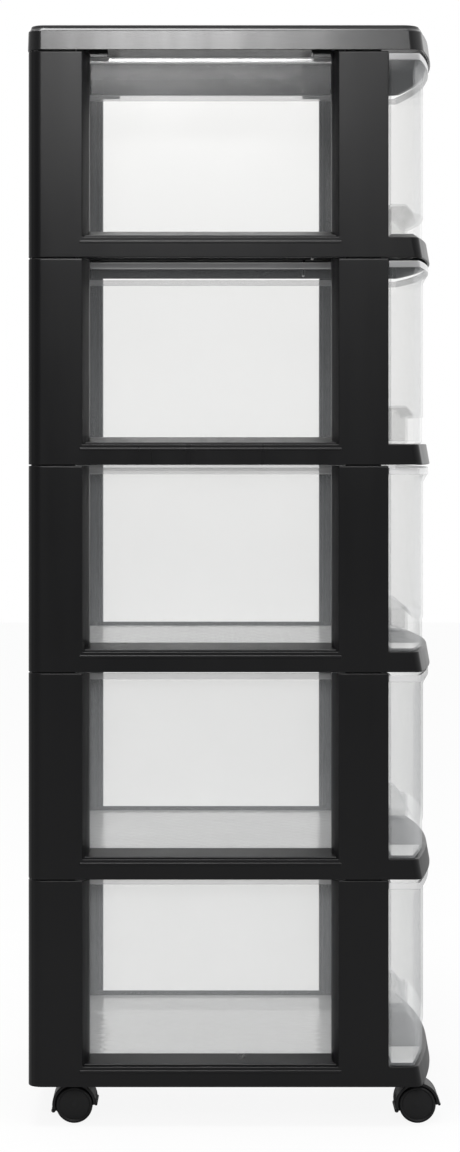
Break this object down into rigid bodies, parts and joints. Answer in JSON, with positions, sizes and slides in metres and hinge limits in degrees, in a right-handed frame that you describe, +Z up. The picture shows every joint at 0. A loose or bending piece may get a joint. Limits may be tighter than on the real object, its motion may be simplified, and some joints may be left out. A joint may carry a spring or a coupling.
{
  "type": "plastic drawer tower",
  "caption": "Tall tower of clear slide-out drawers in stacked black frames with a flat tray cover, on swivel casters.",
  "frame": {"origin": "on the floor, at the middle of the tower's box", "axes": "+Z up, -Y out of the drawer fronts, +X across the front"},
  "size_m": [0.3072, 0.3632, 0.9645],
  "materials": {
    "black_frame_plastic": "satin moulded",
    "clear_drawer_plastic": "clear, slightly hazy moulded",
    "black_caster_plastic": "smooth moulded",
    "caster_steel": "plated"
  },
  "bodies": {
    "tower": {"top_cover": "black_frame_plastic", "frame_1": "black_frame_plastic", "frame_2": "black_frame_plastic", "frame_3": "black_frame_plastic", "frame_4": "black_frame_plastic", "frame_5": "black_frame_plastic", "front_left_socket": "black_caster_plastic", "front_left_stem": "caster_steel", "front_right_socket": "black_caster_plastic", "front_right_stem": "caster_steel", "rear_left_socket": "black_caster_plastic", "rear_left_stem": "caster_steel", "rear_right_socket": "black_caster_plastic", "rear_right_stem": "caster_steel"},
    "drawer_1": {"drawer_1": "clear_drawer_plastic"},
    "drawer_2": {"drawer_2": "clear_drawer_plastic"},
    "drawer_3": {"drawer_3": "clear_drawer_plastic"},
    "drawer_4": {"drawer_4": "clear_drawer_plastic"},
    "drawer_5": {"drawer_5": "clear_drawer_plastic"},
    "front_left_caster": {"front_left_hood": "black_caster_plastic", "front_left_axle": "caster_steel"},
    "front_left_outer_wheel": {"front_left_wheel_outer": "black_caster_plastic"},
    "front_left_inner_wheel": {"front_left_wheel_inner": "black_caster_plastic"},
    "front_right_caster": {"front_right_hood": "black_caster_plastic", "front_right_axle": "caster_steel"},
    "front_right_outer_wheel": {"front_right_wheel_outer": "black_caster_plastic"},
    "front_right_inner_wheel": {"front_right_wheel_inner": "black_caster_plastic"},
    "rear_left_caster": {"rear_left_hood": "black_caster_plastic", "rear_left_axle": "caster_steel"},
    "rear_left_outer_wheel": {"rear_left_wheel_outer": "black_caster_plastic"},
    "rear_left_inner_wheel": {"rear_left_wheel_inner": "black_caster_plastic"},
    "rear_right_caster": {"rear_right_hood": "black_caster_plastic", "rear_right_axle": "caster_steel"},
    "rear_right_outer_wheel": {"rear_right_wheel_outer": "black_caster_plastic"},
    "rear_right_inner_wheel": {"rear_right_wheel_inner": "black_caster_plastic"}
  },
  "joints": [
    {"name": "drawer_1_slide", "type": "slide", "parent": "tower", "child": "drawer_1", "axis": [0, -1, 0], "range_m": [0, 0.23]},
    {"name": "drawer_2_slide", "type": "slide", "parent": "tower", "child": "drawer_2", "axis": [0, -1, 0], "range_m": [0, 0.23]},
    {"name": "drawer_3_slide", "type": "slide", "parent": "tower", "child": "drawer_3", "axis": [0, -1, 0], "range_m": [0, 0.23]},
    {"name": "drawer_4_slide", "type": "slide", "parent": "tower", "child": "drawer_4", "axis": [0, -1, 0], "range_m": [0, 0.23]},
    {"name": "drawer_5_slide", "type": "slide", "parent": "tower", "child": "drawer_5", "axis": [0, -1, 0], "range_m": [0, 0.23]},
    {"name": "front_left_swivel", "type": "hinge", "parent": "tower", "child": "front_left_caster", "pos_m": [-0.125, -0.151, 0.03], "axis": [0, 0, 1], "continuous": true},
    {"name": "front_left_outer_roll", "type": "hinge", "parent": "front_left_caster", "child": "front_left_outer_wheel", "pos_m": [-0.125, -0.161, 0.0162], "axis": [1, 0, 0], "continuous": true},
    {"name": "front_left_inner_roll", "type": "hinge", "parent": "front_left_caster", "child": "front_left_inner_wheel", "pos_m": [-0.125, -0.161, 0.0162], "axis": [1, 0, 0], "continuous": true},
    {"name": "front_right_swivel", "type": "hinge", "parent": "tower", "child": "front_right_caster", "pos_m": [0.125, -0.151, 0.03], "axis": [0, 0, 1], "continuous": true},
    {"name": "front_right_outer_roll", "type": "hinge", "parent": "front_right_caster", "child": "front_right_outer_wheel", "pos_m": [0.125, -0.161, 0.0162], "axis": [1, 0, 0], "continuous": true},
    {"name": "front_right_inner_roll", "type": "hinge", "parent": "front_right_caster", "child": "front_right_inner_wheel", "pos_m": [0.125, -0.161, 0.0162], "axis": [1, 0, 0], "continuous": true},
    {"name": "rear_left_swivel", "type": "hinge", "parent": "tower", "child": "rear_left_caster", "pos_m": [-0.125, 0.151, 0.03], "axis": [0, 0, 1], "continuous": true},
    {"name": "rear_left_outer_roll", "type": "hinge", "parent": "rear_left_caster", "child": "rear_left_outer_wheel", "pos_m": [-0.125, 0.141, 0.0162], "axis": [1, 0, 0], "continuous": true},
    {"name": "rear_left_inner_roll", "type": "hinge", "parent": "rear_left_caster", "child": "rear_left_inner_wheel", "pos_m": [-0.125, 0.141, 0.0162], "axis": [1, 0, 0], "continuous": true},
    {"name": "rear_right_swivel", "type": "hinge", "parent": "tower", "child": "rear_right_caster", "pos_m": [0.125, 0.151, 0.03], "axis": [0, 0, 1], "continuous": true},
    {"name": "rear_right_outer_roll", "type": "hinge", "parent": "rear_right_caster", "child": "rear_right_outer_wheel", "pos_m": [0.125, 0.141, 0.0162], "axis": [1, 0, 0], "continuous": true},
    {"name": "rear_right_inner_roll", "type": "hinge", "parent": "rear_right_caster", "child": "rear_right_inner_wheel", "pos_m": [0.125, 0.141, 0.0162], "axis": [1, 0, 0], "continuous": true}
  ]
}
